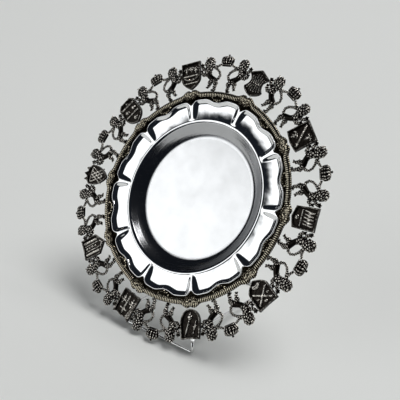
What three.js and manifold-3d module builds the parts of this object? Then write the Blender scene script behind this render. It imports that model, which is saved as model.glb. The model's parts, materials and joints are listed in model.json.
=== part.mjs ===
// Lobed display dish with an openwork border of lions, shields and crowns, on a folding wire foot.
// Millimetres, +Z up. The origin is on the table, under the middle of the front foot bar.
import * as THREE from 'three';
import { mergeVertices } from 'three/addons/utils/BufferGeometryUtils.js';
import Module from 'manifold-3d';

const wasm = await Module();
wasm.setup();

// Stance
const PLATE_CENTRE = new THREE.Vector3(-10.85, 59.9, 103.7);
const TILT = THREE.MathUtils.degToRad(56.44);
const TURN = THREE.MathUtils.degToRad(23.33);
const SECTORS = 10;
const SECTOR = 2 * Math.PI / SECTORS;
const GAP = 0.3;

// Dish
const SHEET = 1.0;
const WELL_DEPTH = 8;
const FLOOR_RADIUS = 51.5;
const RING_RADIUS = 65.3;
const FLUTE_START = 66.4;
const DISH_SEGMENTS = 80;
const DISH_EDGE = 83.6;
const CREASE_DEPTH = 4.2;
const CREASE_WIDTH = 2.2;
const NOTCH_DEPTH = 2.9;
const LIP_START = 0.72;
const LIP_RISE = 1.9;
const PAN_DEPTH = 0.75;

// Openwork border, measured from the ring plane of the dish
const BORDER_BACK = 0.3;
const FLANGE_TOP = 1.1;
const ROPE_TOP = 3.2;
const ROPE_INNER = 86.2;
const ROPE_OUTER = 90.3;
const ROPE_SWELL = 3.5;
const SWELL_WIDTH = 4.6;
const BAND_STEPS = 10;
const LEAF_RADIUS = 89.6;
const LEAF_TOP = 3.8;
const SHIELD_BOTTOM = 94.15;
const SHIELD_HALF = 9.4;
const SHIELD_FIELD = 2.3;
const SHIELD_RIM = 3.1;
const RIM_ACROSS = 0.8;
const RIM_ALONG = 0.84;
const FIGURE_TOP = 3.2;
const MANE_TOP = 4.2;
const LIMB_SEGMENTS = 2;
const CROWN_BASE = 112.9;
const CROWN_TIP = 124.3;
const CROWN_TOP = 3.3;

// Wire foot
const WIRE = 1.25;
const WIRE_SIDES = 8;
const FOOT_HALF = 36.6;
const FOOT_UPRIGHT_TOP = 11.2;
const FOOT_BEND = 3;
const LEG_HALF = 33.2;
const LEG_BACK = 113.5;
const LEG_BEND = 5;
const PIN_END = 38.2;
const LUG_WIDTH = 3.4;
const LUG_FACE = new THREE.Vector3(0, 1.15, 15.7);
const HINGE_UP = 2.2;
const HINGE_BEHIND = 3.5;
const HINGE_BORE = 1.47;

const SILVER = { color: 0xd4d6d8, roughness: 0.18, metalness: 1 };
const OLD_SILVER = { color: 0x8f877a, roughness: 0.42, metalness: 1 };
const BAND_SILVER = { color: 0x9c8d70, roughness: 0.4, metalness: 1 };
const WIRE_SILVER = { color: 0xb9bcbf, roughness: 0.28, metalness: 1 };

function solid(geometry) {
  geometry.deleteAttribute('normal');
  geometry.deleteAttribute('uv');
  const merged = mergeVertices(geometry, 1e-4);
  return new wasm.Manifold(new wasm.Mesh({
    numProp: 3,
    vertProperties: Float32Array.from(merged.attributes.position.array),
    triVerts: Uint32Array.from(merged.index.array),
  }));
}

function geometryOf(body) {
  const mesh = body.getMesh();
  const geometry = new THREE.BufferGeometry();
  geometry.setAttribute('position', new THREE.BufferAttribute(mesh.vertProperties, 3));
  geometry.setIndex(new THREE.BufferAttribute(mesh.triVerts, 1));
  geometry.computeVertexNormals();
  return geometry;
}

function union(bodies) {
  return geometryOf(bodies.reduce((sum, body) => sum.add(body)));
}

function piece(name, geometry, finish) {
  const mesh = new THREE.Mesh(geometry, new THREE.MeshStandardMaterial(finish));
  mesh.name = name;
  return mesh;
}

function plateOf(shape, bottom, top, curveSegments = 3) {
  const options = { depth: top - bottom, bevelEnabled: false, curveSegments };
  return new THREE.ExtrudeGeometry(shape, options).translate(0, 0, bottom);
}

// Angle from the nearest shield axis, in degrees, 0 to 18
function offAxis(x, y) {
  const turn = Math.atan2(x, y) / SECTOR;
  return Math.abs(turn - Math.round(turn)) * 360 / SECTORS;
}

// The dish is pinched in on each shield axis and notched halfway between two shields
function dishEdge(degrees) {
  const crease = CREASE_DEPTH * Math.exp(-((degrees / CREASE_WIDTH) ** 2));
  const notch = NOTCH_DEPTH * THREE.MathUtils.smoothstep(degrees, 10, 17.5);
  return DISH_EDGE - crease - notch;
}

// The border band swells outward under each shield
function bandEdge(degrees) {
  return ROPE_OUTER + ROPE_SWELL * Math.exp(-((degrees / SWELL_WIDTH) ** 4));
}

// Height of a lobe: a shallow pan with a turned-up lip, pinched into a ridge on each shield axis
function lobeHeight(outward, degrees) {
  const ridge = LIP_RISE * outward ** 0.8;
  const turned = THREE.MathUtils.clamp((outward - LIP_START) / 0.25, 0, 1);
  const lip = LIP_RISE * turned ** 2 * (1.5 - 0.5 * turned);
  const pan = lip - PAN_DEPTH * Math.sin(Math.PI * outward);
  const start = 0.1 + 1.1 * outward;
  const end = 3.0 + 2.2 * outward;
  return THREE.MathUtils.lerp(ridge, pan, THREE.MathUtils.smoothstep(degrees, start, end));
}

function dish() {
  const wall = [[FLOOR_RADIUS, -WELL_DEPTH], [55, -7.1], [59, -4.4], [63, -0.9], [RING_RADIUS, 0]];
  const flutes = [0, 0.35, LIP_START, 0.85, 0.97, 1];
  const top = [[0, -WELL_DEPTH], ...wall, ...flutes.map((u) => [FLUTE_START + u, 0])];
  const profile = [];
  top.forEach(([r, z]) => profile.push(new THREE.Vector2(r, z - SHEET)));
  top.reverse().forEach(([r, z]) => profile.push(new THREE.Vector2(r, z)));
  const geometry = new THREE.LatheGeometry(profile, DISH_SEGMENTS).rotateX(Math.PI / 2);
  const points = geometry.attributes.position;
  const point = new THREE.Vector3();
  for (let i = 0; i < points.count; i += 1) {
    point.fromBufferAttribute(points, i);
    const radius = Math.hypot(point.x, point.y);
    if (radius >= FLUTE_START - 1e-6) {
      const outward = Math.max(0, radius - FLUTE_START);
      const degrees = offAxis(point.x, point.y);
      const reach = FLUTE_START + outward * (dishEdge(degrees) - FLUTE_START);
      point.x *= reach / radius;
      point.y *= reach / radius;
      point.z += lobeHeight(outward, degrees);
      points.setXYZ(i, point.x, point.y, point.z);
    }
  }
  return geometry;
}

function ringSector(inner, outer, steps) {
  const half = 180 / SECTORS - 0.1;
  const rim = (edge) => Array.from({ length: steps + 1 }, (_, i) => {
    const degrees = half * (2 * i / steps - 1);
    const angle = THREE.MathUtils.degToRad(degrees);
    const radius = edge(Math.abs(degrees));
    return new THREE.Vector2(radius * Math.sin(angle), radius * Math.cos(angle));
  });
  return new THREE.Shape([...rim(inner).reverse(), ...rim(outer)]);
}

function borderBand() {
  const flange = ringSector((d) => dishEdge(d) + GAP, () => ROPE_INNER + 1, BAND_STEPS);
  const rope = ringSector(() => ROPE_INNER, bandEdge, BAND_STEPS);
  const leaf = new THREE.Shape().absellipse(0, LEAF_RADIUS, 5.6, 3.6, 0, 2 * Math.PI);
  return union([
    solid(plateOf(flange, BORDER_BACK, FLANGE_TOP)),
    solid(plateOf(rope, BORDER_BACK, ROPE_TOP)),
    solid(plateOf(leaf, BORDER_BACK, LEAF_TOP, 4)),
  ]);
}

// The ten shields: the middle of the top edge, and the right-hand half outline from there to the
// bottom point
const SHIELDS = [
  { top: 119.3, half: (p) => p.lineTo(SHIELD_HALF, 119.3).lineTo(SHIELD_HALF, 104)
    .quadraticCurveTo(8.8, 98.6, 0, SHIELD_BOTTOM) },
  { top: 117.8, half: (p) => p.lineTo(SHIELD_HALF, 113.2).lineTo(SHIELD_HALF, 111.6)
    .quadraticCurveTo(7.6, 110.4, 5.9, 107.6).quadraticCurveTo(5.4, 103.6, 9.2, 100.4)
    .quadraticCurveTo(8.2, 96.6, 0, SHIELD_BOTTOM) },
  { top: 115.6, half: (p) => p.lineTo(SHIELD_HALF, 115.6).lineTo(SHIELD_HALF, 95.8)
    .quadraticCurveTo(5, 95.2, 0, SHIELD_BOTTOM + 0.5) },
  { top: 115.2, half: (p) => p.lineTo(SHIELD_HALF, 115.5).lineTo(8.5, 96.6).lineTo(0, SHIELD_BOTTOM) },
  { top: 117, half: (p) => p.lineTo(SHIELD_HALF, 117.3).lineTo(9, 102)
    .quadraticCurveTo(8.2, 98.4, 0, SHIELD_BOTTOM) },
  { top: 117.6, half: (p) => p.lineTo(8.2, 118.2).quadraticCurveTo(9.6, 108, 8.8, 102.5)
    .quadraticCurveTo(7.4, 95, 0, SHIELD_BOTTOM) },
  { top: 118.2, half: (p) => p.lineTo(4, 117.2).quadraticCurveTo(6.2, 116.8, SHIELD_HALF, 119)
    .lineTo(SHIELD_HALF, 96.2).quadraticCurveTo(4.8, 95.6, 3.2, 96.8)
    .lineTo(0, SHIELD_BOTTOM + 1.6) },
  { top: 117.8, half: (p) => p.lineTo(SHIELD_HALF, 118.2).lineTo(SHIELD_HALF, 101.6)
    .lineTo(0, SHIELD_BOTTOM) },
  { top: 121.2, half: (p) => p.lineTo(1.6, 118.2).lineTo(3, 116.6).lineTo(5.4, 119.8)
    .lineTo(6.9, 115.4).lineTo(SHIELD_HALF, 113.4).quadraticCurveTo(9.6, 100.6, 0, SHIELD_BOTTOM) },
  { top: 120.8, half: (p) => p.lineTo(5.8, 120.8).lineTo(SHIELD_HALF, 116.8).lineTo(SHIELD_HALF, 104)
    .quadraticCurveTo(8.8, 97.6, 0, SHIELD_BOTTOM) },
];

function symmetric(half, top) {
  const path = new THREE.Path().moveTo(0, top);
  half(path);
  const right = path.getPoints(3);
  const left = right.slice(1, -1).reverse().map((point) => new THREE.Vector2(-point.x, point.y));
  return new THREE.Shape([...right, ...left]);
}

function shield({ top, half }) {
  const outline = symmetric(half, top);
  const rim = outline.clone();
  const middle = (top + SHIELD_BOTTOM) / 2;
  const shrunk = ({ x, y }) => new THREE.Vector2(RIM_ACROSS * x, middle + RIM_ALONG * (y - middle));
  rim.holes.push(new THREE.Path(outline.getPoints().map(shrunk).reverse()));
  return union([
    solid(plateOf(outline, BORDER_BACK, SHIELD_FIELD)),
    solid(plateOf(rim, BORDER_BACK, SHIELD_RIM)),
  ]);
}

function crown() {
  const outline = symmetric((p) => p.lineTo(1.3, 123.2).lineTo(0.8, 122.3)
    .quadraticCurveTo(5.8, 122.4, 6.4, 118.6).quadraticCurveTo(6.4, 116.4, 4.6, 115.3)
    .lineTo(4.6, CROWN_BASE).lineTo(0, CROWN_BASE - 0.5), CROWN_TIP);
  const dome = new THREE.Shape().absellipse(0, 118.6, 4.6, 3, 0, 2 * Math.PI);
  return union([
    solid(plateOf(outline, BORDER_BACK, CROWN_TOP - 0.8)),
    solid(plateOf(dome, BORDER_BACK, CROWN_TOP)),
  ]);
}

// Outline round two circles joined by their outer tangents
function limb([x1, y1, r1], [x2, y2, r2]) {
  const heading = Math.atan2(y2 - y1, x2 - x1);
  const spread = Math.acos((r1 - r2) / Math.hypot(x2 - x1, y2 - y1));
  return new THREE.Shape()
    .absarc(x1, y1, r1, heading + spread, heading - spread + 2 * Math.PI, false)
    .absarc(x2, y2, r2, heading - spread, heading + spread, false);
}

// A rampant lion left of its shield; each chain lists x, y and radius, with the height of its face
const LION_CHAINS = [
  { top: MANE_TOP, joints: [[-19.6, 115.0, 5.3], [-18.8, 110.6, 4.1]] },
  { top: FIGURE_TOP, joints: [[-17.6, 106.6, 3.6], [-23.0, 98.2, 2.7]] },
  { top: FIGURE_TOP, joints: [[-15.4, 109.0, 2.0], [-11.1, 113.2, 1.3]] },
  { top: FIGURE_TOP, joints: [[-14.8, 105.0, 2.2], [-11.2, 107.6, 1.3]] },
  { top: FIGURE_TOP, joints: [[-23.4, 97.4, 2.3], [-22.9, 89.2, 1.2]] },
  { top: FIGURE_TOP, joints: [[-21.8, 98.0, 2.4], [-17.4, 92.9, 1.3]] },
  { top: FIGURE_TOP, joints: [[-25.2, 97.8, 1.1], [-28.6, 100.6, 1.0], [-27.4, 105.6, 1.05],
    [-22.6, 109.6, 1.3]] },
  { top: FIGURE_TOP, joints: [[-23.5, 110.0, 1.1], [-29.7, 110.4, 1.0]] },
];

function lion() {
  const bodies = [];
  LION_CHAINS.forEach(({ top, joints }) => {
    for (let i = 1; i < joints.length; i += 1) {
      const outline = limb(joints[i - 1], joints[i]);
      bodies.push(solid(plateOf(outline, BORDER_BACK, top, LIMB_SEGMENTS)));
    }
  });
  return union(bodies);
}

function rod(from, to) {
  const along = to.clone().sub(from);
  const radius = WIRE / Math.cos(Math.PI / WIRE_SIDES);
  const bar = new THREE.CylinderGeometry(
    radius, radius, along.length(), WIRE_SIDES, 1, false, Math.PI / WIRE_SIDES,
  );
  const up = new THREE.Vector3(0, 1, 0);
  bar.applyQuaternion(new THREE.Quaternion().setFromUnitVectors(up, along.normalize()));
  const middle = from.clone().add(to).multiplyScalar(0.5);
  return solid(bar.translate(middle.x, middle.y, middle.z));
}

// Replaces a corner by the points of its round
function rounded(before, corner, after, radius) {
  const toward = (end) => end.clone().sub(corner).normalize().multiplyScalar(radius).add(corner);
  return new THREE.QuadraticBezierCurve3(toward(before), corner, toward(after)).getPoints(2);
}

function wire(points) {
  const bodies = [];
  for (let i = 1; i < points.length; i += 1) {
    bodies.push(rod(points[i - 1], points[i]));
  }
  points.slice(1, -1).forEach((point) => {
    const knuckle = new THREE.SphereGeometry(WIRE, WIRE_SIDES, 4);
    bodies.push(solid(knuckle.translate(point.x, point.y, point.z)));
  });
  return union(bodies);
}

function frontFoot() {
  const at = (side, z) => new THREE.Vector3(side * FOOT_HALF, 0, z);
  const left = rounded(at(-1, FOOT_UPRIGHT_TOP), at(-1, WIRE), at(1, WIRE), FOOT_BEND);
  const right = rounded(at(-1, WIRE), at(1, WIRE), at(1, FOOT_UPRIGHT_TOP), FOOT_BEND);
  return wire([at(-1, FOOT_UPRIGHT_TOP), ...left, ...right, at(1, FOOT_UPRIGHT_TOP)]);
}

function hingePoint(x) {
  const behind = new THREE.Vector3(0, HINGE_UP, -HINGE_BEHIND);
  const point = behind.applyAxisAngle(new THREE.Vector3(1, 0, 0), TILT).add(LUG_FACE);
  return point.setX(x);
}

function rearLeg() {
  const corner = (side) => new THREE.Vector3(side * LEG_HALF, LEG_BACK, WIRE);
  const eye = (side) => hingePoint(side * LEG_HALF);
  const left = rounded(eye(-1), corner(-1), corner(1), LEG_BEND);
  const right = rounded(corner(-1), corner(1), eye(1), LEG_BEND);
  return wire([hingePoint(-PIN_END), eye(-1), ...left, ...right, eye(1), hingePoint(PIN_END)]);
}

// Knuckle on the back of a shield, drawn in the plane of the border
function hingeLug() {
  const outline = new THREE.Shape()
    .moveTo(-3.3, GAP)
    .lineTo(HINGE_UP + 3.2, GAP)
    .absarc(HINGE_UP, HINGE_BEHIND, 2.9, 0, Math.PI, false)
    .lineTo(-3.3, 2.2);
  const block = plateOf(outline, -LUG_WIDTH / 2, LUG_WIDTH / 2, 5);
  const bore = new THREE.CylinderGeometry(HINGE_BORE, HINGE_BORE, 2 * LUG_WIDTH, 16);
  bore.rotateX(Math.PI / 2).translate(HINGE_UP, HINGE_BEHIND, 0);
  const drilled = geometryOf(solid(block).subtract(solid(bore)));
  // outline x runs up the border, outline y runs behind it, thickness runs across
  const axes = new THREE.Matrix4().makeBasis(
    new THREE.Vector3(0, 1, 0), new THREE.Vector3(0, 0, -1), new THREE.Vector3(-1, 0, 0),
  );
  return drilled.applyMatrix4(axes);
}

const display = new THREE.Group();
display.name = 'display_plate';

const plate = new THREE.Group();
plate.name = 'plate';
plate.position.copy(PLATE_CENTRE);
plate.rotation.set(TILT, 0, TURN);
display.add(plate);
plate.add(piece('dish', dish(), SILVER));

const bandShape = borderBand();
const crownShape = crown();
const lionShape = lion();
SHIELDS.forEach((design, index) => {
  const number = String(index + 1).padStart(2, '0');
  const sector = new THREE.Group();
  sector.rotation.z = -index * SECTOR;
  const emblem = piece(`crown_${number}`, crownShape, OLD_SILVER);
  emblem.rotation.z = -SECTOR / 2;
  const rightLion = piece(`lion_right_${number}`, lionShape, OLD_SILVER);
  rightLion.scale.x = -1;
  sector.add(
    piece(`border_band_${number}`, bandShape, BAND_SILVER),
    piece(`shield_${number}`, shield(design), OLD_SILVER),
    piece(`lion_left_${number}`, lionShape, OLD_SILVER),
    rightLion,
    emblem,
  );
  plate.add(sector);
});

display.add(piece('front_foot', frontFoot(), WIRE_SILVER));
display.add(piece('rear_leg', rearLeg(), WIRE_SILVER));
const lugShape = hingeLug();
[['left', -1], ['right', 1]].forEach(([name, side]) => {
  const lug = piece(`hinge_lug_${name}`, lugShape, WIRE_SILVER);
  lug.position.copy(LUG_FACE).setX(side * FOOT_HALF);
  lug.rotation.x = TILT;
  display.add(lug);
});

export default display;
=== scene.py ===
"""Lobed silver display plate with an openwork border of lions, shields and crowns, on a wire foot.

Shapes are drawn in millimetres in the plate's own axes: x and y lie in the plane of the ring round the
well, y points to shield 1, and z points to the viewer. PLATE carries them to the frame, in metres.
"""

import json
import math

import bmesh
import bpy
import numpy as np
from mathutils import Matrix, Vector


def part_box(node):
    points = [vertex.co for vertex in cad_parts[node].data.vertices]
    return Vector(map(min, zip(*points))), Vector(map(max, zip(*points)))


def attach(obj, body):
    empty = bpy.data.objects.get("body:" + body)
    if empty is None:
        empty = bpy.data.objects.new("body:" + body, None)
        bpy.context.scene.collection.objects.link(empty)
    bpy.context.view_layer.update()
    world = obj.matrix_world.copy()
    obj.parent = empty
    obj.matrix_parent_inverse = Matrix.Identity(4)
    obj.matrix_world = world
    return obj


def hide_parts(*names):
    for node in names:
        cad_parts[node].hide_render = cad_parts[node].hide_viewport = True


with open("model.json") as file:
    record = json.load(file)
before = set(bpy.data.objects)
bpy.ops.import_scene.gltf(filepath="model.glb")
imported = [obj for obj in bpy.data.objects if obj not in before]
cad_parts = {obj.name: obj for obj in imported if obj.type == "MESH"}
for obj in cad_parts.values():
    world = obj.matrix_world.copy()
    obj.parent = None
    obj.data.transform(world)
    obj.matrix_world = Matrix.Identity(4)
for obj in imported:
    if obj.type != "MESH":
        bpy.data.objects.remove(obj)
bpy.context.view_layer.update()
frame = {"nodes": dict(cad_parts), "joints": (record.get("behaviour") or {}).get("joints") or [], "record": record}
RECORD = frame["record"]

MM = 0.001

# The border's ten equal sectors, and how far shield 1 is turned from the top
SECTORS = 10
SECTOR = 2 * math.pi / SECTORS
TURN = math.radians(23.33)

# Steps in each curve of a shield's outline and in each bend of the wire
CURVE_STEPS = 8

# Dish, in the plate's own millimetres
WELL_DEPTH = 8.0
FLOOR_RADIUS = 51.5
STEP_RADIUS = 62.9
RING_RADIUS = 65.3
FLUTE_START = 66.4
SHEET = 1.0
DISH_EDGE = 83.6
CREASE_DEPTH = 4.2
CREASE_WIDTH = 2.2
NOTCH_DEPTH = 2.9
LIP_START = 0.72
LIP_RISE = 1.9
PAN_DEPTH = 0.75

# Border: heights of its back and of a figure's middle, then sizes in its plane
BACK = 0.3
MID = 1.75
ROPE_OUTER = 90.6
ROPE_SWELL = 3.2
SWELL_WIDTH = 4.6
SWELL_DIP = 1.3
DIP_WIDTH = 1.2
ROPE_HALF_WIDTH = 2.5
ROPE_HALF_DEPTH = 1.42
REED_PITCH = 1.7
BAND_HALF_ANGLE = 18.0
FLANGE_HALF_ANGLE = 17.95
FLANGE_HEIGHT = 0.85
SHIELD_BOTTOM = 94.15
SHIELD_HALF = 9.3
SHIELD_FIELD = 1.7
SHIELD_RIM = 3.1
CHARGE_MID = 2.05
CHARGE_SWELL = 0.15
FIGURE_VOXEL = 0.27
CURL_SIZE = 1.15
CURL_HEIGHT = 0.6
CURL_REACH = 1.6

# Relief: its values on plain faces, and how it is measured on figures
FIELD_RELIEF = 0.58
LINE_RELIEF = 0.5
BACK_RELIEF = 0.62
RELIEF_ROUNDS = 14
RELIEF_LOW = 0.8
RELIEF_HIGH = 3.6
HEIGHT_SHARE = 0.2

# Wire: its radius, the bends of the front foot, of the rear leg's ends and of its rails, and the
# rear leg's clearance from the lugs
WIRE = 1.25
WIRE_SIDES = 20
FRONT_BEND = 3
END_BEND = 1.3
RAIL_BEND = 6
RAIL_GAP = 0.4
LUG_BEVEL = 0.25

# Studio: the table's left, right, front and back edges and the camera's place in metres, angles in
# degrees, and the directions and strengths of the light
TABLE = (-3.0, 4.0, -0.8, 4.0)
CAMERA_PLACE = (0.32025, -0.3536, 0.3464)
CAMERA_HEADING = 37.981917
CAMERA_PITCH = 25
CAMERA_LENS = 63
SOFTBOX = (-0.600, -0.700, 0.390)
SOFTBOX_LIGHT = 1.35
LEFT_WALL = (-1, 0.15, 0.5)
BACKDROP_LIGHT = 0.62
KEY = (0.35, 0.35, 1.0)
KEY_ANGLE = 40
KEY_LIGHT = 2.25


def mount(name):
    return next(m for m in RECORD["mounts"] if m["name"] == name)


def plate_matrix():
    floor = mount("well_floor")
    normal = Vector(floor["axis"]).normalized()
    centre = Vector(floor["pos_m"]) + normal * WELL_DEPTH * MM
    tilt = math.atan2(-normal.y, normal.z)
    return Matrix.Translation(centre) @ Matrix.Rotation(tilt, 4, "X") @ Matrix.Rotation(TURN, 4, "Z")


PLATE = plate_matrix()


def sector_matrix(index, halves=0):
    return PLATE @ Matrix.Rotation(-(index + halves / 2) * SECTOR, 4, "Z")


# ---------------------------------------------------------------- shader nodes

def node(tree, kind, **settings):
    """A new node with its settings. The helpers below return the socket that they make."""
    made = tree.nodes.new(kind)
    for key, value in settings.items():
        setattr(made, key, value)
    return made


def ramp(tree, source, stops):
    made = tree.nodes.new("ShaderNodeValToRGB")
    elements = made.color_ramp.elements
    while len(elements) < len(stops):
        elements.new(0.5)
    for element, (place, colour) in zip(elements, stops):
        element.position = place
        element.color = (*colour, 1)
    tree.links.new(source, made.inputs["Fac"])
    return made.outputs["Color"]


def noise(tree, vector, scale, detail=3.0, roughness=0.5):
    made = node(tree, "ShaderNodeTexNoise")
    made.inputs["Scale"].default_value = scale
    made.inputs["Detail"].default_value = detail
    made.inputs["Roughness"].default_value = roughness
    tree.links.new(vector, made.inputs["Vector"])
    return made.outputs["Fac"]


def remap(tree, source, low, high, out_low, out_high, curve="LINEAR"):
    made = node(tree, "ShaderNodeMapRange", interpolation_type=curve)
    for key, value in (("From Min", low), ("From Max", high), ("To Min", out_low), ("To Max", out_high)):
        made.inputs[key].default_value = value
    tree.links.new(source, made.inputs["Value"])
    return made.outputs["Result"]


def combine(tree, operation, first, second):
    made = node(tree, "ShaderNodeMath", operation=operation)
    for socket, value in zip(made.inputs, (first, second)):
        if isinstance(value, (int, float)):
            socket.default_value = value
        else:
            tree.links.new(value, socket)
    return made.outputs["Value"]


def bump(tree, shader, height, strength, distance):
    made = node(tree, "ShaderNodeBump")
    made.inputs["Strength"].default_value = strength
    made.inputs["Distance"].default_value = distance
    tree.links.new(height, made.inputs["Height"])
    tree.links.new(made.outputs["Normal"], shader.inputs["Normal"])


def metal(name, drawn=True):
    """A metal shader and the place that textures it, in millimetres: as drawn, or in the frame."""
    material = bpy.data.materials.new(name)
    material.use_nodes = True
    tree = material.node_tree
    shader = tree.nodes["Principled BSDF"]
    shader.inputs["Metallic"].default_value = 1.0
    if drawn:
        place = node(tree, "ShaderNodeAttribute", attribute_name="drawn").outputs["Vector"]
        return material, tree, shader, place
    scaled = node(tree, "ShaderNodeVectorMath", operation="SCALE")
    scaled.inputs["Scale"].default_value = 1 / MM
    tree.links.new(tree.nodes.new("ShaderNodeTexCoord").outputs["Object"], scaled.inputs[0])
    return material, tree, shader, scaled.outputs["Vector"]


# ---------------------------------------------------------------- camera, floor and light

def camera():
    """Looks down on the plate from the front right."""
    data = bpy.data.cameras.new("camera")
    data.lens = CAMERA_LENS
    data.sensor_width = 36
    data.clip_start = 0.01
    data.clip_end = 50
    cam = bpy.data.objects.new("camera", data)
    bpy.context.scene.collection.objects.link(cam)
    heading = Matrix.Rotation(math.radians(CAMERA_HEADING), 4, "Z")
    pitch = Matrix.Rotation(math.radians(90 - CAMERA_PITCH), 4, "X")
    cam.matrix_world = Matrix.Translation(CAMERA_PLACE) @ heading @ pitch
    bpy.context.scene.camera = cam


def key_light():
    """A soft distant lamp above and behind."""
    data = bpy.data.lights.new("key", "SUN")
    data.angle = math.radians(KEY_ANGLE)
    data.energy = KEY_LIGHT
    lamp = bpy.data.objects.new("key", data)
    bpy.context.scene.collection.objects.link(lamp)
    lamp.rotation_euler = Vector(KEY).to_track_quat("Z", "Y").to_euler()


def table():
    """The plain pale floor that the plate stands on."""
    mesh = bpy.data.meshes.new("table")
    left, right, front, back = TABLE
    corners = [(left, front, 0), (right, front, 0), (right, back, 0), (left, back, 0)]
    mesh.from_pydata(corners, [], [(0, 1, 2, 3)])
    plane = bpy.data.objects.new("table", mesh)
    bpy.context.scene.collection.objects.link(plane)
    material = bpy.data.materials.new("pale_table")
    material.use_nodes = True
    shader = material.node_tree.nodes["Principled BSDF"]
    shader.inputs["Base Color"].default_value = (0.80, 0.81, 0.79, 1)
    shader.inputs["Roughness"].default_value = 0.6
    shader.inputs["Specular IOR Level"].default_value = 0.3
    mesh.materials.append(material)


def facing(tree, place, direction, low, high):
    """1 where the sky direction is nearer than the angle whose cosine is high, 0 beyond low."""
    dot = node(tree, "ShaderNodeVectorMath", operation="DOT_PRODUCT")
    dot.inputs[1].default_value = Vector(direction).normalized()
    tree.links.new(place, dot.inputs[0])
    return remap(tree, dot.outputs["Value"], low, high, 0, 1, "SMOOTHSTEP")


def studio():
    """A pale backdrop behind and a softbox front left, in a room that is dark everywhere else."""
    bpy.context.scene.view_settings.view_transform = "Standard"
    table()
    world = bpy.data.worlds.new("studio")
    bpy.context.scene.world = world
    world.use_nodes = True
    tree = world.node_tree
    place = tree.nodes.new("ShaderNodeTexCoord").outputs["Generated"]
    backdrop = facing(tree, place, (0, 1, 0), -0.25, 0.10)
    for direction, low, high in (((0, 0, 1), 0.50, 0.66), (LEFT_WALL, 0.80, 0.93)):
        dark = facing(tree, place, direction, low, high)
        backdrop = combine(tree, "MULTIPLY", backdrop, combine(tree, "SUBTRACT", 1, dark))
    below_top = combine(tree, "SUBTRACT", 1, facing(tree, place, (0, 0, 1), 0.54, 0.72))
    softbox = combine(tree, "MULTIPLY", facing(tree, place, SOFTBOX, 0.87, 0.96), below_top)
    wall_light = combine(tree, "MULTIPLY", backdrop, BACKDROP_LIGHT)
    box_light = combine(tree, "MULTIPLY", softbox, SOFTBOX_LIGHT)
    room = node(tree, "ShaderNodeMix", data_type="RGBA")
    room.inputs["A"].default_value = (0.009, 0.011, 0.015, 1)
    room.clamp_factor = False
    room.inputs["B"].default_value = (1.0, 1.02, 1.03, 1)
    tree.links.new(combine(tree, "MAXIMUM", wall_light, box_light), room.inputs["Factor"])
    tree.links.new(room.outputs["Result"], tree.nodes["Background"].inputs["Color"])
    key_light()


# ---------------------------------------------------------------- meshes

def add_piece(name, mesh, matrix, body, node):
    """Puts a copy of a drawn mesh in its place in the frame. Its shader reads the drawn coordinates."""
    placed = mesh.copy()
    drawn = placed.attributes.new("drawn", "FLOAT_VECTOR", "POINT")
    drawn.data.foreach_set("vector", coordinates(placed).ravel())
    placed.transform(matrix @ Matrix.Scale(MM, 4))
    piece = bpy.data.objects.new(name, placed)
    bpy.context.scene.collection.objects.link(piece)
    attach(piece, body)
    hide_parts(node)


def mesh_of(name, points, faces, material=None):
    mesh = bpy.data.meshes.new(name)
    mesh.from_pydata([tuple(p) for p in points], [], faces)
    mesh.validate()
    mesh.shade_smooth()
    if material:
        mesh.materials.append(material)
    return mesh


def coordinates(mesh):
    points = np.empty(len(mesh.vertices) * 3)
    mesh.vertices.foreach_get("co", points)
    return points.reshape(-1, 3)


def normals(mesh):
    found = np.empty(len(mesh.vertices) * 3)
    mesh.vertex_normals.foreach_get("vector", found)
    return found.reshape(-1, 3)


def move_vertices(mesh, points):
    mesh.vertices.foreach_set("co", points.ravel())
    mesh.update()


def neighbour_mean(mesh, values, rounds):
    """Values averaged over each vertex's neighbours, a number of times."""
    edges = np.empty(len(mesh.edges) * 2, dtype=np.int64)
    mesh.edges.foreach_get("vertices", edges)
    a, b = edges.reshape(-1, 2).T
    count = np.bincount(a, minlength=len(values)) + np.bincount(b, minlength=len(values))
    for _ in range(rounds):
        total = np.zeros_like(values)
        for column in range(values.shape[1]):
            total[:, column] = (np.bincount(a, values[b, column], len(values))
                                + np.bincount(b, values[a, column], len(values)))
        values = 0.5 * values + 0.5 * total / np.maximum(count, 1)[:, None]
    return values


def set_relief(mesh, values):
    """Stores how far each point stands proud, 0 in a recess to 1 on a worn edge."""
    attribute = mesh.attributes.get("relief") or mesh.attributes.new("relief", "FLOAT", "POINT")
    on_back = coordinates(mesh)[:, 2] < BACK + 0.01
    values = np.where(on_back, BACK_RELIEF, np.clip(values, 0, 1))
    attribute.data.foreach_set("value", values.astype(np.float32))


def mark_relief(mesh):
    """Relief from how far each point stands out from its surroundings, in the mesh's own range."""
    points, outward = coordinates(mesh), normals(mesh)
    proud = ((points - neighbour_mean(mesh, points, RELIEF_ROUNDS)) * outward).sum(1)
    front = (points[:, 2] > RELIEF_LOW) & (outward[:, 2] > 0.3)
    least, most = np.percentile(proud[front], (12, 90))
    height = np.clip((points[:, 2] - RELIEF_LOW) / (RELIEF_HIGH - RELIEF_LOW), 0, 1)
    set_relief(mesh, (1 - HEIGHT_SHARE) * (proud - least) / (most - least) + HEIGHT_SHARE * height)


def join(name, meshes, material):
    build = bmesh.new()
    for mesh in meshes:
        build.from_mesh(mesh)
    joined = bpy.data.meshes.new(name)
    build.to_mesh(joined)
    build.free()
    joined.shade_smooth()
    return cast_in(joined, material)


def cast_in(mesh, material):
    """Gives the mesh this material and no other."""
    mesh.materials.clear()
    mesh.materials.append(material)
    return mesh


def mirrored(mesh):
    copy = mesh.copy()
    copy.transform(Matrix.Scale(-1, 4, (1, 0, 0)))
    copy.flip_normals()
    return copy


# ---------------------------------------------------------------- cast figures from chains of round limbs

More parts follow.
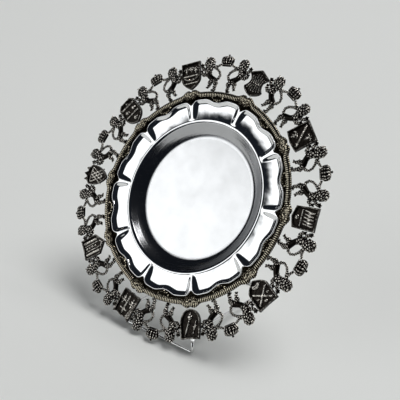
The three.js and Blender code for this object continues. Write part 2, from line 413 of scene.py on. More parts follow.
def chain(*joints, mid=MID, flat=1.4, pattern="smooth"):
    """A limb through joints (x, y, radius). Its depth either side of mid is at most flat."""
    return {"joints": joints, "mid": mid, "flat": flat, "pattern": pattern}


def unit_ball():
    """Points and faces of a ball of radius 1."""
    build = bmesh.new()
    bmesh.ops.create_icosphere(build, subdivisions=2, radius=1)
    points = np.array([vertex.co for vertex in build.verts])
    faces = np.array([[vertex.index for vertex in face.verts] for face in build.faces])
    build.free()
    return points, faces


BALL_POINTS, BALL_FACES = unit_ball()


def limb_balls(limb):
    """Centres and half-sizes of the balls that fill a limb."""
    joints = limb["joints"]
    for (x1, y1, r1), (x2, y2, r2) in zip(joints, joints[1:]):
        steps = max(1, math.ceil(math.hypot(x2 - x1, y2 - y1) / (0.3 * min(r1, r2))))
        for t in np.linspace(0, 1, steps + 1):
            radius = r1 + t * (r2 - r1)
            centre = (x1 + t * (x2 - x1), y1 + t * (y2 - y1), limb["mid"])
            yield np.array(centre), np.array((radius, radius, min(radius, limb["flat"])))


def limb_mesh(limbs):
    """One skin over all the limbs."""
    balls = [ball for limb in limbs for ball in limb_balls(limb)]
    points = np.concatenate([centre + size * BALL_POINTS for centre, size in balls])
    faces = np.concatenate([BALL_FACES + i * len(BALL_POINTS) for i in range(len(balls))])
    rough = bpy.data.meshes.new("limbs")
    rough.from_pydata(points.tolist(), [], faces.tolist())
    holder = bpy.data.objects.new("limbs", rough)
    bpy.context.scene.collection.objects.link(holder)
    remesh = holder.modifiers.new("remesh", "REMESH")
    remesh.mode = "VOXEL"
    remesh.voxel_size = FIGURE_VOXEL
    made = bpy.data.meshes.new_from_object(holder.evaluated_get(bpy.context.evaluated_depsgraph_get()))
    bpy.data.objects.remove(holder)
    return made


def along_limb(points, limb):
    """For each point: its distance from the limb's surface, and its place along and across the limb."""
    joints = limb["joints"]
    best = np.full(len(points), 1e9)
    reach = np.zeros(len(points))
    side = np.zeros(len(points))
    travelled = 0.0
    for (x1, y1, r1), (x2, y2, r2) in zip(joints, joints[1:]):
        start, step = np.array((x1, y1)), np.array((x2 - x1, y2 - y1))
        length = np.linalg.norm(step)
        offset = points[:, :2] - start
        t = np.clip(offset @ step / length ** 2, 0, 1)
        gap = np.linalg.norm(offset - t[:, None] * step, axis=1) - (r1 + t * (r2 - r1))
        closer = gap < best
        best = np.where(closer, gap, best)
        reach = np.where(closer, travelled + t * length, reach)
        across = (offset[:, 0] * step[1] - offset[:, 1] * step[0]) / length
        side = np.where(closer, across, side)
        travelled += length
    return best, reach, side


def curl_seeds(centre, radius, spacing):
    """Points spread evenly over a disc, for curls of hair."""
    count = int((radius / spacing) ** 2 * 3.2)
    golden = math.pi * (3 - math.sqrt(5))
    seeds = []
    for i in range(count):
        reach = radius * math.sqrt((i + 0.5) / count)
        seeds.append((centre[0] + reach * math.cos(i * golden), centre[1] + reach * math.sin(i * golden)))
    return seeds


def limb_pattern(limb, reach, side):
    """Height of the fur or twist on a limb's surface."""
    if limb["pattern"] == "fur":
        return 0.3 * np.sin(2 * math.pi * (reach + 0.5 * np.abs(side)) / 1.7)
    if limb["pattern"] == "twist":
        return 0.24 * np.sin(2 * math.pi * (reach + 0.8 * side) / 1.6)
    return np.zeros(len(reach))


def finish_cast(mesh, limbs, curls=()):
    """Adds fur, twist and curls to a remeshed figure and flattens its back."""
    move_vertices(mesh, neighbour_mean(mesh, coordinates(mesh), 2))
    points, outward = coordinates(mesh), normals(mesh)
    rise = np.zeros(len(points))
    near = np.full(len(points), 1e9)
    for limb in limbs:
        gap, reach, side = along_limb(points, limb)
        closer = gap < near
        near = np.where(closer, gap, near)
        rise = np.where(closer, limb_pattern(limb, reach, side), rise)
    if len(curls):
        distance = np.min(np.linalg.norm(points[:, None, :2] - np.array(curls)[None], axis=2), axis=1)
        share = np.clip(distance / CURL_SIZE, 0, CURL_REACH) / CURL_REACH
        dimple = 0.25 * np.exp(-((distance / 0.35) ** 2))
        rise = np.where(share < 1, CURL_HEIGHT * np.cos(share * math.pi) - dimple, rise)
    press_flat(mesh, points + outward * rise[:, None])


def press_flat(mesh, points):
    """Moves the mesh to these points, with nothing behind the border's back."""
    points[:, 2] = np.maximum(points[:, 2], BACK)
    move_vertices(mesh, points)
    mesh.shade_smooth()


# ---------------------------------------------------------------- materials

def spun_silver():
    """Polished silver: fine turning rings in the well, a mirror finish with faint waves on the lobes, and painted
    shade on the well's wall.
    """
    material, tree, shader, place = metal("spun_silver")
    flat = node(tree, "ShaderNodeVectorMath", operation="MULTIPLY")
    flat.inputs[1].default_value = (1, 1, 0)
    tree.links.new(place, flat.inputs[0])
    length = node(tree, "ShaderNodeVectorMath", operation="LENGTH")
    tree.links.new(flat.outputs["Vector"], length.inputs[0])
    radius = length.outputs["Value"]
    in_well = remap(tree, radius, STEP_RADIUS, STEP_RADIUS + 1.5, 1, 0)
    on_floor = remap(tree, radius, FLOOR_RADIUS - 1, FLOOR_RADIUS + 2.5, 1, 0)
    rings = node(tree, "ShaderNodeTexNoise", noise_dimensions="1D")
    rings.inputs["Scale"].default_value = 3.2
    rings.inputs["Detail"].default_value = 4
    tree.links.new(radius, rings.inputs["W"])
    stain = noise(tree, place, 0.07, 4, 0.6)
    floor_rough = combine(tree, "MULTIPLY", on_floor, 0.17)
    well_rough = combine(tree, "MULTIPLY", in_well, 0.07)
    polish = combine(tree, "ADD", combine(tree, "ADD", floor_rough, well_rough), 0.05)
    rough = combine(tree, "ADD", polish, remap(tree, stain, 0.35, 0.75, 0, 0.05))
    tree.links.new(rough, shader.inputs["Roughness"])
    clean = ramp(tree, stain, [(0.3, (0.93, 0.935, 0.945)), (0.8, (0.86, 0.865, 0.87))])
    # Painted shade: the well's wall has its base colour multiplied by 0.55, standing in for the darker room that
    # the wall reflects.
    on_wall = combine(tree, "MULTIPLY", in_well, combine(tree, "SUBTRACT", 1, on_floor))
    painted_wall_shade = node(tree, "ShaderNodeMix", data_type="RGBA", blend_type="MULTIPLY")
    painted_wall_shade.inputs["B"].default_value = (0.55, 0.55, 0.56, 1)
    tree.links.new(on_wall, painted_wall_shade.inputs["Factor"])
    tree.links.new(clean, painted_wall_shade.inputs["A"])
    tree.links.new(painted_wall_shade.outputs["Result"], shader.inputs["Base Color"])
    turning = combine(tree, "MULTIPLY", rings.outputs["Fac"], in_well)
    calm = remap(tree, in_well, 0, 1, 1.0, 0.15)
    waves = combine(tree, "MULTIPLY", noise(tree, place, 0.11, 1.5, 0.4), calm)
    ripple = combine(tree, "MULTIPLY", turning, 0.03)
    swell = combine(tree, "MULTIPLY", waves, 0.35)
    bump(tree, shader, combine(tree, "ADD", ripple, swell), 0.8, 1.0 * MM)
    return material


def cast_silver(name, dark, middle, bright):
    """Antiqued casting: black tarnish in the recesses, worn bright on what stands proud."""
    material, tree, shader, place = metal(name)
    attribute = node(tree, "ShaderNodeAttribute", attribute_name="relief")
    blotch = noise(tree, place, 0.9, 5, 0.6)
    grain = noise(tree, place, 5.0, 4, 0.6)
    proud = combine(tree, "ADD", attribute.outputs["Fac"], remap(tree, blotch, 0.3, 0.7, -0.13, 0.13))
    colour = ramp(tree, proud, [(0.5, dark), (0.75, middle), (0.92, bright)])
    tree.links.new(colour, shader.inputs["Base Color"])
    dull = remap(tree, proud, 0.1, 0.9, 0.4, 0.2)
    uneven = remap(tree, grain, 0.3, 0.7, -0.05, 0.05)
    tree.links.new(combine(tree, "ADD", dull, uneven), shader.inputs["Roughness"])
    tree.links.new(remap(tree, proud, 0.05, 0.4, 0.9, 1.0), shader.inputs["Metallic"])
    shader.inputs["Specular IOR Level"].default_value = 0.2
    bump(tree, shader, grain, 0.35, 0.12 * MM)
    return material


def drawn_wire(drawn=True):
    """Bright wire with fine scuffs. drawn is False for a CAD piece, which has no drawn coordinates."""
    material, tree, shader, place = metal("drawn_wire", drawn)
    scuff = noise(tree, place, 1.6, 5, 0.65)
    colour = ramp(tree, scuff, [(0.3, (0.62, 0.62, 0.62)), (0.7, (0.84, 0.84, 0.83))])
    tree.links.new(colour, shader.inputs["Base Color"])
    tree.links.new(remap(tree, scuff, 0.3, 0.7, 0.14, 0.3), shader.inputs["Roughness"])
    bump(tree, shader, scuff, 0.2, 0.1 * MM)
    return material


SPUN = spun_silver()
CAST = cast_silver("antique_silver", (0.005, 0.004, 0.004), (0.030, 0.026, 0.021), (0.82, 0.78, 0.71))
ROPE = cast_silver("warm_silver", (0.006, 0.005, 0.003), (0.040, 0.030, 0.019), (0.90, 0.82, 0.64))
DRAWN = drawn_wire()
LUG = drawn_wire(drawn=False)


# ---------------------------------------------------------------- dish

def off_axis(turn):
    """Degrees from the nearest shield axis, 0 to 18, for an angle in radians."""
    share = turn / SECTOR
    return np.abs(share - np.round(share)) * 360 / SECTORS


def smoothstep(value, low, high):
    t = np.clip((value - low) / (high - low), 0, 1)
    return t * t * (3 - 2 * t)


def dish_edge(degrees):
    """Radius of the dish: creased in on each shield's axis and notched between the shields."""
    crease = CREASE_DEPTH * np.exp(-((degrees / CREASE_WIDTH) ** 2))
    return DISH_EDGE - crease - NOTCH_DEPTH * smoothstep(degrees, 10, 17.5)


def band_edge(degrees):
    """Outer radius of the rope: it swells under each shield, with a dip in the swelling's middle."""
    swelling = ROPE_SWELL * np.exp(-((degrees / SWELL_WIDTH) ** 4))
    return ROPE_OUTER + swelling - SWELL_DIP * np.exp(-((degrees / DIP_WIDTH) ** 2))


def lobe_height(outward, degrees):
    """A nearly flat pan with an upturned lip, pinched into a narrow ridge on each shield's axis."""
    ridge = LIP_RISE * outward ** 0.8
    turned = np.clip((outward - LIP_START) / 0.25, 0, 1)
    pan = LIP_RISE * turned ** 2 * (1.5 - 0.5 * turned) - PAN_DEPTH * np.sin(math.pi * outward)
    return ridge + (pan - ridge) * smoothstep(degrees, 0.1 + 1.1 * outward, 3.0 + 2.2 * outward)


def well_height(radius):
    """The well's section: flat floor, curved wall, a fine step and the raised ring."""
    wall = np.interp(radius, [FLOOR_RADIUS, 53, 55, 57, 59, 61, STEP_RADIUS],
                     [-8, -7.75, -6.95, -5.75, -4.25, -2.55, -0.95])
    shelf = np.interp(radius, [STEP_RADIUS, STEP_RADIUS + 0.3, 64.0, RING_RADIUS, 65.9, FLUTE_START],
                      [-0.95, -0.55, -0.25, 0.2, 0.22, 0])
    return np.where(radius < STEP_RADIUS, wall, shelf)


def dish_mesh():
    """The spun sheet, in rings of points from the middle of its face over the lip to the back."""
    around = 600
    wall, shelf = np.linspace(50.5, 63.4, 28), np.linspace(63.8, FLUTE_START, 8)
    inner = np.concatenate([[4, 16, 30, 42, 49], wall, shelf])
    outward = np.concatenate([np.linspace(0.03, LIP_START, 16), np.linspace(0.75, 1, 14)])
    turn = np.arange(around) * 2 * math.pi / around
    degrees = off_axis(turn)
    edge = dish_edge(degrees)
    rings = [(np.full(around, r), np.full(around, well_height(np.array(r)))) for r in inner]
    for u in outward:
        radius = FLUTE_START + u * (edge - FLUTE_START)
        rings.append((radius, lobe_height(u, degrees)))
    top = [np.stack([r * np.sin(turn), r * np.cos(turn), z], 1) for r, z in rings]
    lip = top[-1] + (0, 0, -0.25)
    lip[:, :2] *= 1.003
    under = [ring - (0, 0, SHEET) for ring in reversed(top)]
    layers = [*top, lip, *under]
    points = np.concatenate([[(0, 0, -WELL_DEPTH)], *layers, [(0, 0, -WELL_DEPTH - SHEET)]])
    faces = [(0, 1 + (i + 1) % around, 1 + i) for i in range(around)]
    for layer in range(len(layers) - 1):
        low = 1 + layer * around
        for i in range(around):
            j = (i + 1) % around
            faces.append((low + i, low + j, low + around + j, low + around + i))
    last = 1 + (len(layers) - 1) * around
    faces += [(len(points) - 1, last + i, last + (i + 1) % around) for i in range(around)]
    return mesh_of("dish", points, faces, SPUN)


# ---------------------------------------------------------------- border band

def rope_tube():
    """The outer moulding, cut across by deep reeds."""
    section, samples = 18, 7
    length = (ROPE_OUTER - ROPE_HALF_WIDTH) * math.radians(2 * BAND_HALF_ANGLE)
    count = round(length / REED_PITCH) * samples
    points, reliefs = [], []
    for i in range(count + 1):
        degrees = BAND_HALF_ANGLE * (2 * i / count - 1)
        turn = math.radians(degrees)
        middle = band_edge(abs(degrees)) - ROPE_HALF_WIDTH
        wave = abs(math.sin(math.pi * i / samples))
        swell = 0.55 + 0.45 * wave ** 0.6
        for j in range(section):
            around = 2 * math.pi * j / section
            radius = middle + ROPE_HALF_WIDTH * (0.5 + 0.5 * swell) * math.cos(around)
            height = MID + ROPE_HALF_DEPTH * swell * math.sin(around)
            points.append((radius * math.sin(turn), radius * math.cos(turn), max(height, BACK)))
            reliefs.append(wave ** 1.5 * (0.62 + 0.6 * math.sin(around)))
    faces = []
    for i in range(count):
        for j in range(section):
            k = (j + 1) % section
            faces.append((i * section + j, (i + 1) * section + j, (i + 1) * section + k, i * section + k))
    faces.append(tuple(range(section)))
    faces.append(tuple(count * section + j for j in reversed(range(section))))
    mesh = mesh_of("rope", points, faces)
    set_relief(mesh, np.array(reliefs))
    return mesh


def flange():
    """The flat strip between the dish and the rope, tooled with shallow scallops."""
    steps, rows = 144, 9
    points, reliefs = [], []
    for front in (True, False):
        for i in range(steps + 1):
            degrees = FLANGE_HALF_ANGLE * (2 * i / steps - 1)
            low, high = dish_edge(abs(degrees)) + 0.12, band_edge(abs(degrees)) - ROPE_HALF_WIDTH
            for j in range(rows):
                share = j / (rows - 1)
                radius = low + (high - low) * share
                tooling = 0.22 * abs(math.sin(math.pi * i / 6)) * math.sin(math.pi * share)
                bead = 0.35 * math.exp(-((share - 0.12) / 0.1) ** 2)
                turn = math.radians(degrees)
                height = FLANGE_HEIGHT + tooling + bead if front else BACK
                points.append((radius * math.sin(turn), radius * math.cos(turn), height))
                reliefs.append(0.16 + 0.8 * tooling + bead)
    faces = []
    sheet = (steps + 1) * rows
    for i in range(steps):
        for j in range(rows - 1):
            a = i * rows + j
            faces.append((a, a + 1, a + rows + 1, a + rows))
            faces.append((sheet + a, sheet + a + rows, sheet + a + rows + 1, sheet + a + 1))
        for j, flip in ((0, False), (rows - 1, True)):
            a = i * rows + j
            wall = (a, a + rows, sheet + a + rows, sheet + a)
            faces.append(wall[::-1] if flip else wall)
    for i, flip in ((0, True), (steps, False)):
        for j in range(rows - 1):
            a = i * rows + j
            wall = (a, a + 1, sheet + a + 1, sheet + a)
            faces.append(wall[::-1] if flip else wall)
    mesh = mesh_of("flange", points, faces)
    build = bmesh.new()
    build.from_mesh(mesh)
    bmesh.ops.recalc_face_normals(build, faces=build.faces)
    build.to_mesh(mesh)
    build.free()
    set_relief(mesh, np.array(reliefs))
    return mesh


def leaf_pairs(leaves, mid):
    """Leaves (x1, y1, x2, y2, radius) from root to tip, each on both sides."""
    return [chain((side * x1, y1, radius), (side * x2, y2, 0.7 * radius), mid=mid, pattern="fur")
            for side in (-1, 1) for x1, y1, x2, y2, radius in leaves]


def leaf_cluster():
    """Acanthus leaves fanned round an open eye, under each shield."""
    leaves = (
        (1.0, 90.6, 2.0, 92.6, 0.85),
        (2.4, 90.2, 4.6, 92.2, 0.95),
        (2.9, 89.0, 6.8, 91.3, 1.0),
        (3.0, 87.8, 8.2, 89.4, 0.95),
        (2.7, 86.5, 6.9, 87.0, 0.85),
        (1.8, 85.4, 5.0, 85.2, 0.8),
    )
    limbs = leaf_pairs(leaves, 2.4)
    limbs.append(chain((0, 85.6, 0.8), (0, 83.6, 0.6), mid=2.1, pattern="fur"))
    eye = [(1.8 * math.cos(a), 88.5 + 1.8 * math.sin(a), 0.62) for a in np.linspace(0, 2 * math.pi, 13)]
    limbs.append(chain(*eye, mid=2.7))
    for side in (-1, 1):
        limbs.append(chain((side * 3.4, 88.2, 1.9), (side * 5.6, 88.8, 1.7), mid=1.0, flat=0.7))
    mesh = limb_mesh(limbs)
    finish_cast(mesh, limbs)
    set_relief(mesh, 0.12 + 0.68 * smoothstep(coordinates(mesh)[:, 2], 2.3, 3.2))
    return mesh


def scroll_cluster():
    """Small scrolls over each lobe's notch, drawn on the notch's own axis."""
    scrolls = ((1.2, 85.9, 4.6, 86.3, 0.95), (1.2, 84.4, 4.9, 84.6, 0.85), (1.0, 83.1, 3.6, 83.1, 0.7))
    limbs = [chain((0, 85.6, 0.8), (0, 81.9, 0.6), mid=2.0, pattern="fur"), *leaf_pairs(scrolls, 2.1),
             chain((-3.0, 84.6, 1.6), (3.0, 84.6, 1.6), mid=0.9, flat=0.6)]
    mesh = limb_mesh(limbs)
    finish_cast(mesh, limbs)
    mark_relief(mesh)
    mesh.transform(Matrix.Rotation(-SECTOR / 2, 4, "Z"))
    return mesh


def band_mesh():
    return join("border_band", [rope_tube(), flange(), leaf_cluster(), scroll_cluster()], ROPE)


# ---------------------------------------------------------------- lions and crowns

def lion_mesh():
    """The lion left of a shield, rampant, its paws on the shield's side."""
    mane = [chain((-19.5, 115.0, 5.0), (-19.2, 113.8, 4.9), mid=1.9, flat=2.1),
            chain((-18.7, 111.2, 4.2), (-17.6, 108.2, 3.4), mid=1.8, flat=1.8)]
    face = [
        chain((-16.9, 115.0, 2.2), (-16.2, 114.4, 1.8), mid=2.9, flat=1.5),
        chain((-16.0, 114.2, 1.4), (-14.9, 113.7, 1.0), mid=2.9, flat=1.2),
        chain((-16.1, 112.5, 0.9), (-15.2, 112.1, 0.65), mid=2.5, flat=0.8),
        chain((-17.2, 116.9, 0.8), (-15.9, 116.1, 0.6), mid=3.4, flat=0.7),
        chain((-18.3, 118.5, 1.0), (-17.6, 119.4, 0.7), mid=3.0, flat=0.8),
    ]
    torso = [chain((-16.8, 106.9, 3.4), (-18.8, 102.0, 2.4), (-22.6, 97.8, 3.0), flat=1.8)]
    upper = [
        chain((-16.0, 108.8, 2.0), (-13.4, 110.2, 1.6), (-11.2, 112.6, 1.3), pattern="fur"),
        chain((-11.2, 112.6, 1.1), (-10.1, 115.0, 0.65), mid=2.0),
        chain((-11.2, 112.6, 1.1), (-11.7, 115.6, 0.65), mid=2.2),
        chain((-11.2, 112.6, 1.1), (-13.0, 114.4, 0.6), mid=2.0),
    ]
    lower = [
        chain((-15.4, 105.2, 2.2), (-12.6, 104.9, 1.7), (-11.0, 107.2, 1.3), pattern="fur"),
        chain((-11.0, 107.2, 1.0), (-10.0, 109.5, 0.65), mid=2.0),
        chain((-11.0, 107.2, 1.0), (-11.6, 109.4, 0.6), mid=2.2),
        chain((-11.0, 107.2, 1.0), (-9.9, 106.2, 0.6), mid=2.0),
    ]
    hind = [
        chain((-23.0, 97.6, 2.8), (-24.0, 94.6, 2.1), (-22.7, 91.6, 1.5), (-22.2, 88.8, 1.3),
              pattern="fur"),
        chain((-22.2, 88.8, 1.2), (-19.8, 89.4, 0.9), mid=1.9),
        chain((-21.4, 98.4, 2.6), (-18.6, 96.8, 2.0), (-18.0, 94.4, 1.5), (-16.6, 93.0, 1.15),
              pattern="fur"),
        chain((-16.6, 92.9, 1.0), (-14.9, 92.7, 0.65), mid=2.0),
        chain((-16.6, 92.9, 1.0), (-16.4, 91.6, 0.6), mid=2.1),
    ]
    tail = [
        chain((-23.9, 97.9, 1.5), (-26.8, 98.6, 1.15), (-28.6, 101.0, 1.05), (-28.2, 104.2, 1.05),
              (-26.2, 107.2, 1.1), (-22.9, 109.8, 1.3), pattern="twist"),
        chain((-22.2, 110.6, 1.6), (-26.2, 109.8, 1.15), (-29.7, 110.6, 1.0), pattern="twist"),
    ]
    limbs = mane + face + torso + upper + lower + hind + tail
    mesh = limb_mesh(limbs)
    face_at = (-15.7, 114.2)
    curls = [p for p in curl_seeds((-19.4, 114.8), 5.7, 2.0) if math.dist(p, face_at) > 2.6]
    curls += [p for p in curl_seeds((-18.2, 109.0), 4.4, 2.0) if p[1] < 109.4]
    finish_cast(mesh, limbs, curls)
    mark_relief(mesh)
    return cast_in(mesh, CAST)


def crown_mesh():
    """Ribbed dome on a pearled band, with a cross on top, drawn on its own axis."""
    dome_y = 118.3
    dome = [chain((-2.5, dome_y, 4.0), (2.5, dome_y, 4.0), mid=1.9, flat=2.2)]
    band = [
        chain((-4.1, 113.7, 0.75), (4.1, 113.7, 0.75), mid=1.8),
        chain((-4.1, 115.0, 0.8), (4.1, 115.0, 0.8), mid=1.6, flat=1.0),
    ]
    pearls = [chain((x, 114.4, 0.62), (x + 0.01, 114.4, 0.62), mid=3.0, flat=0.6)
              for x in np.linspace(-3.9, 3.9, 7)]
    rib = [chain((0.0, y, 0.5), (0.01, y, 0.5), mid=3.9, flat=0.4) for y in np.linspace(116.0, 120.6, 5)]
    cross = [
        chain((0, 121.4, 0.8), (0, 122.4, 0.8), mid=1.9),
        chain((0, 122.6, 0.4), (0, 123.9, 0.4), mid=1.9),
        chain((-0.9, 123.3, 0.38), (0.9, 123.3, 0.38), mid=1.9),
    ]
    limbs = dome + band + pearls + rib + cross
    mesh = limb_mesh(limbs)
    move_vertices(mesh, neighbour_mean(mesh, coordinates(mesh), 1))
    points, outward = coordinates(mesh), normals(mesh)
    share = np.clip((points[:, 1] - dome_y) / 4.1, -1, 1)
    spread = np.clip(points[:, 0] / (6.6 * np.sqrt(np.maximum(1 - share ** 2, 0.05))), -1, 1)
    on_dome = (np.abs(share) < 0.93) & (points[:, 1] > 115.9)
    rise = np.where(on_dome, 0.3 * np.cos(14 * np.arcsin(spread)) + 0.12 * np.cos(12 * share), 0)
    press_flat(mesh, points + outward * rise[:, None])
    mark_relief(mesh)
    return cast_in(mesh, CAST)


# ---------------------------------------------------------------- shields

def curved(start, control, end):
    """Points of a quadratic curve after its start."""
    found = []
    for i in range(1, CURVE_STEPS + 1):
        t = i / CURVE_STEPS
        found.append(tuple((1 - t) ** 2 * s + 2 * t * (1 - t) * c + t * t * e
                           for s, c, e in zip(start, control, end)))
    return found


def symmetric(right):
    """A closed outline from its right-hand half, top middle to bottom middle."""
    return right + [(-x, y) for x, y in reversed(right[1:-1])]


def shield_outlines():
    """The ten outlines, clockwise from the shield that y points to."""
    w, b = SHIELD_HALF, SHIELD_BOTTOM
    halves = [
        [(0, 119.2), (w, 119.2), (w, 104), *curved((w, 104), (8.8, 98.6), (0, b))],
        [(0, 117.7), (w, 113.1), (w, 111.6), *curved((w, 111.6), (7.6, 110.4), (5.9, 107.6)),
         *curved((5.9, 107.6), (5.4, 103.6), (9.1, 100.4)), *curved((9.1, 100.4), (8.2, 96.6), (0, b))],
        [(0, 115.5), (w, 115.5), (w, 95.9), *curved((w, 95.9), (5, 95.2), (0, b + 0.5))],
        [(0, 115.1), (w, 115.4), (8.5, 96.6), (0, b)],
        [(0, 116.9), (w, 117.2), (9, 102), *curved((9, 102), (8.2, 98.4), (0, b))],
        [(0, 117.5), (8.2, 118.1), *curved((8.2, 118.1), (9.6, 108), (8.8, 102.5)),
         *curved((8.8, 102.5), (7.4, 95), (0, b))],
        [(0, 118.1), (4, 117.1), *curved((4, 117.1), (6.2, 116.7), (w, 118.9)), (w, 96.2),
         *curved((w, 96.2), (4.8, 95.6), (3.2, 96.8)), (0, b + 1.6)],
        [(0, 117.7), (w, 118.1), (w, 101.6), (0, b)],
        [(0, 121.1), (1.6, 118.1), (3, 116.5), (5.4, 119.7), (6.9, 115.3), (w, 113.3),
         *curved((w, 113.3), (9.6, 100.6), (0, b))],
        [(0, 120.7), (5.8, 120.7), (w, 116.7), (w, 104), *curved((w, 104), (8.8, 97.6), (0, b))],
    ]
    return [symmetric(half) for half in halves]


def bar(x1, y1, x2, y2, radius, mid=CHARGE_MID, pattern="smooth"):
    thick = radius + CHARGE_SWELL
    return chain((x1, y1, thick), (x2, y2, thick), mid=mid, flat=0.8, pattern=pattern)


def disc(x, y, radius, mid=CHARGE_MID):
    return chain((x - 0.2, y, radius), (x + 0.2, y, radius), mid=mid, flat=1.1)


def arc(x, y, radius, start, end, thick):
    turns = np.radians(np.linspace(start, end, 9))
    joints = [(x + radius * math.cos(a), y + radius * math.sin(a), thick + CHARGE_SWELL) for a in turns]
    return chain(*joints, mid=CHARGE_MID, flat=0.8)


def sprig(x, y, size):
    """A plain three-leaved sprig, standing in for a small figure."""
    leaves = [arc(x + side * size * 0.62, y + 0.2 * size, size * 0.5, start, end, 0.38)
              for side, start, end in ((-1, 160, -70), (1, 20, 250))]
    return [bar(x, y - size, x, y + size, 0.42), *leaves]


def shield_charges():
    """Plain charges in relief, of the builder's own design."""
    both = (-1, 1)
    return [
        [bar(-7, 107.2, 7, 107.2, 0.7), bar(-6.6, 100.4, 6.6, 100.4, 0.6), arc(0, 113, 10, 228, 312, 0.4),
         *sprig(-4.2, 112.4, 2.6), *sprig(0.4, 113.4, 2.2), *sprig(4.6, 112.2, 2.6), disc(-2.4, 103.8, 1.0),
         disc(2.6, 103.8, 1.0)],
        [bar(x, 113.6 - abs(x) * 0.4, x * 0.7, 106.4, 0.42) for x in (-6, -3.6, -1.2, 1.2, 3.6, 6)]
        + [bar(x * 0.7, 105, x, 98.6 + abs(x) * 0.25, 0.5) for x in (-6.4, -3.8, -1.3, 1.3, 3.8, 6.4)],
        [bar(-5.8, 111.8, 5.4, 98.4, 0.95, pattern="twist"), *sprig(3.6, 109.2, 2.8),
         *sprig(-3.6, 100.2, 2.8)],
        [bar(-6.2, 102.4, 6.2, 102.4, 0.6)]
        + [bar(x, 104.6, x + 1.4, top, 0.6)
           for x, top in ((-6, 112.4), (-3.4, 111.2), (-0.8, 112.4), (1.8, 111.2), (4.2, 112.4))]
        + [bar(x, 112.0, x + 1.1, 105.0, 0.45) for x in (-4.5, -1.9, 0.7, 3.3)] + [disc(0, 98.6, 1.8)],
        [bar(-6, 113.6, 6, 103.6, 0.9), bar(6, 113.6, -6, 103.6, 0.9), arc(0, 97.0, 3.8, 30, 150, 0.7),
         arc(0, 95.4, 3.6, 40, 140, 0.5), disc(0, 113.2, 1.3), disc(-5, 108.6, 1.1), disc(5, 108.6, 1.1)],
        [bar(0.4, 101.4, 4.6, 115.6, 0.65, 2.1), disc(0.4, 100.8, 2.0, 2.3), disc(-3.8, 108.4, 1.3),
         bar(-5.4, 103.6, -2.6, 114.2, 0.4), bar(0.2, 97.6, 0.6, 98.8, 0.7)],
        [bar(0.6, 99.4, 0.6, 115.2, 0.7), bar(-3.0, 111.8, 4.2, 111.8, 0.7)]
        + [p for s in both for p in sprig(s * 4.6, 103.4, 3.0)] + [disc(s * 5.0, 107.6, 0.9) for s in both],
        [bar(s * 5.4, 101.8, s * 5.4, 115.4, 1.15) for s in both]
        + [bar(s * 2.5, 101.2, s * 2.5, 115.4, 0.4) for s in both]
        + [disc(0, y, 1.1) for y in (114.2, 111.0, 107.8, 104.6)] + [arc(0, 100, 2.6, 200, 340, 0.6)],
        [bar(x - 3.4, 111.6, x + 3.4, 99.6, 0.6) for x in (-3.4, 0, 3.4)]
        + [bar(x + 3.4, 111.6, x - 3.4, 99.6, 0.6) for x in (-3.4, 0, 3.4)]
        + [bar(-6.6, 112.6, 6.6, 112.6, 0.5)],
        [bar(-7, 115.3, 7, 115.3, 0.75), bar(-7, 105.2, 7, 105.2, 0.75)]
        + [disc(s * 3.9, 110.1, 2.1) for s in both] + [disc(0.4, 100.2, 2.1), disc(0, 118.0, 0.8)],
    ]


def slab(name, outlines, low, high, bevel):
    """A flat piece from closed outlines, the first outer and the rest holes, with rounded edges."""
    curve = bpy.data.curves.new(name, "CURVE")
    curve.dimensions = "2D"
    curve.fill_mode = "BOTH"
    curve.extrude = (high - low) / 2 - bevel
    curve.bevel_depth = bevel
    curve.bevel_resolution = 2
    curve.offset = -bevel
    for outline in outlines:
        spline = curve.splines.new("POLY")
        spline.points.add(len(outline) - 1)
        spline.use_cyclic_u = True
        for point, (x, y) in zip(spline.points, outline):
            point.co = (x, y, 0, 1)
    holder = bpy.data.objects.new(name, curve)
    bpy.context.scene.collection.objects.link(holder)
    mesh = bpy.data.meshes.new_from_object(holder.evaluated_get(bpy.context.evaluated_depsgraph_get()))
    bpy.data.objects.remove(holder)
    bpy.data.curves.remove(curve)
    mesh.transform(Matrix.Translation((0, 0, (low + high) / 2)))
    return mesh


def inset(outline, across, along):
    """The outline drawn in towards its middle, by a share of its width and of its height."""
    middle = (outline[0][1] + SHIELD_BOTTOM) / 2
    return [(across * x, middle + along * (y - middle)) for x, y in outline]


def shield_mesh(name, outline, charges):
    """A field with a raised rim, a fine line inside the rim, and the charges."""
    field = slab("field", [inset(outline, 0.96, 0.97)], BACK, SHIELD_FIELD, 0.15)
    set_relief(field, np.full(len(field.vertices), FIELD_RELIEF))
    rim = slab("rim", [outline, inset(outline, 0.89, 0.92)], BACK, SHIELD_RIM, 0.25)
    set_relief(rim, 0.15 + 0.6 * smoothstep(coordinates(rim)[:, 2], 2.2, SHIELD_RIM))
    line = slab("line", [inset(outline, 0.84, 0.88), inset(outline, 0.79, 0.845)], 1.5, 2.3, 0.12)
    set_relief(line, np.full(len(line.vertices), LINE_RELIEF))
    figure = limb_mesh(charges)
    finish_cast(figure, charges)
    set_relief(figure, 0.46 + 0.38 * smoothstep(coordinates(figure)[:, 2], 1.65, 2.2))
    return join(name, [field, rim, line, figure], CAST)


# ---------------------------------------------------------------- wire foot

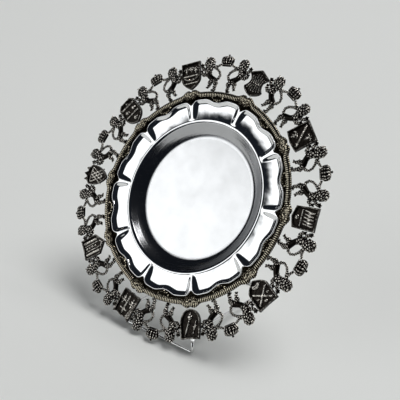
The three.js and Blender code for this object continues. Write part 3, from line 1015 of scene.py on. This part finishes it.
def wire_mesh(name, corners, bends):
    """A round wire through corners, in millimetres of the frame, each rounded by its bend."""
    path = [Vector(corners[0])]
    for before, corner, after, bend in zip(corners, corners[1:], corners[2:], bends):
        corner = Vector(corner)
        start = corner + (Vector(before) - corner).normalized() * bend
        end = corner + (Vector(after) - corner).normalized() * bend
        for t in (i / CURVE_STEPS for i in range(CURVE_STEPS + 1)):
            path.append((1 - t) ** 2 * start + 2 * t * (1 - t) * corner + t * t * end)
    path.append(Vector(corners[-1]))
    points, faces = [], []
    side = (path[1] - path[0]).orthogonal().normalized()
    for i, place in enumerate(path):
        ahead = (path[min(i + 1, len(path) - 1)] - path[max(i - 1, 0)]).normalized()
        side = (side - ahead * side.dot(ahead)).normalized()
        other = ahead.cross(side)
        for j in range(WIRE_SIDES):
            turn = 2 * math.pi * j / WIRE_SIDES
            points.append(place + WIRE * (math.cos(turn) * side + math.sin(turn) * other))
    for i in range(len(path) - 1):
        for j in range(WIRE_SIDES):
            k = (j + 1) % WIRE_SIDES
            a, b = i * WIRE_SIDES, (i + 1) * WIRE_SIDES
            faces.append((a + j, a + k, b + k, b + j))
    faces.append(tuple(reversed(range(WIRE_SIDES))))
    faces.append(tuple((len(path) - 1) * WIRE_SIDES + j for j in range(WIRE_SIDES)))
    return mesh_of(name, points, faces, DRAWN)


def corners_of(name):
    """Lowest and highest corner of a CAD node, in millimetres of the frame."""
    return [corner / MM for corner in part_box(name)]


def foot_pieces():
    """Both wires, bent to the sizes of their CAD nodes, and a finish for the two CAD lugs."""
    hinge = Vector(frame["joints"][0]["pos_m"]) / MM
    high = corners_of("front_foot")[1]
    half, top = high.x - WIRE, high.z
    corners = [(-half, 0, top), (-half, 0, WIRE), (half, 0, WIRE), (half, 0, top)]
    front = wire_mesh("front_foot", corners, [FRONT_BEND, FRONT_BEND])
    add_piece("foot_front_wire", front, Matrix.Identity(4), "plate", "front_foot")
    high = corners_of("rear_leg")[1]
    rail = corners_of("hinge_lug_right")[0].x - RAIL_GAP - WIRE
    back = high.y - WIRE
    corners = [(-high.x, hinge.y, hinge.z), (-rail, hinge.y, hinge.z), (-rail, back, WIRE),
               (rail, back, WIRE), (rail, hinge.y, hinge.z), (high.x, hinge.y, hinge.z)]
    rear = wire_mesh("rear_leg", corners, [END_BEND, RAIL_BEND, RAIL_BEND, END_BEND])
    add_piece("foot_rear_wire", rear, Matrix.Identity(4), "rear_leg", "rear_leg")
    for name in ("hinge_lug_left", "hinge_lug_right"):
        lug = frame["nodes"][name]
        cast_in(lug.data, LUG)
        edge = lug.modifiers.new("soft_edges", "BEVEL")
        edge.width = LUG_BEVEL * MM
        edge.segments = 2


# ---------------------------------------------------------------- the object

def build():
    add_piece("spun_dish", dish_mesh(), PLATE, "plate", "dish")
    band = band_mesh()
    left = lion_mesh()
    right = mirrored(left)
    crown = crown_mesh()
    for index, (outline, charges) in enumerate(zip(shield_outlines(), shield_charges())):
        number = f"{index + 1:02d}"
        place = sector_matrix(index)
        shield = shield_mesh(f"shield_{number}", outline, charges)
        add_piece(f"rope_band_{number}", band, place, "plate", f"border_band_{number}")
        add_piece(f"arms_{number}", shield, place, "plate", f"shield_{number}")
        add_piece(f"lion_l_{number}", left, place, "plate", f"lion_left_{number}")
        add_piece(f"lion_r_{number}", right, place, "plate", f"lion_right_{number}")
        add_piece(f"cast_crown_{number}", crown, sector_matrix(index, 1), "plate",
                  f"crown_{number}")
    foot_pieces()


camera()
studio()
build()
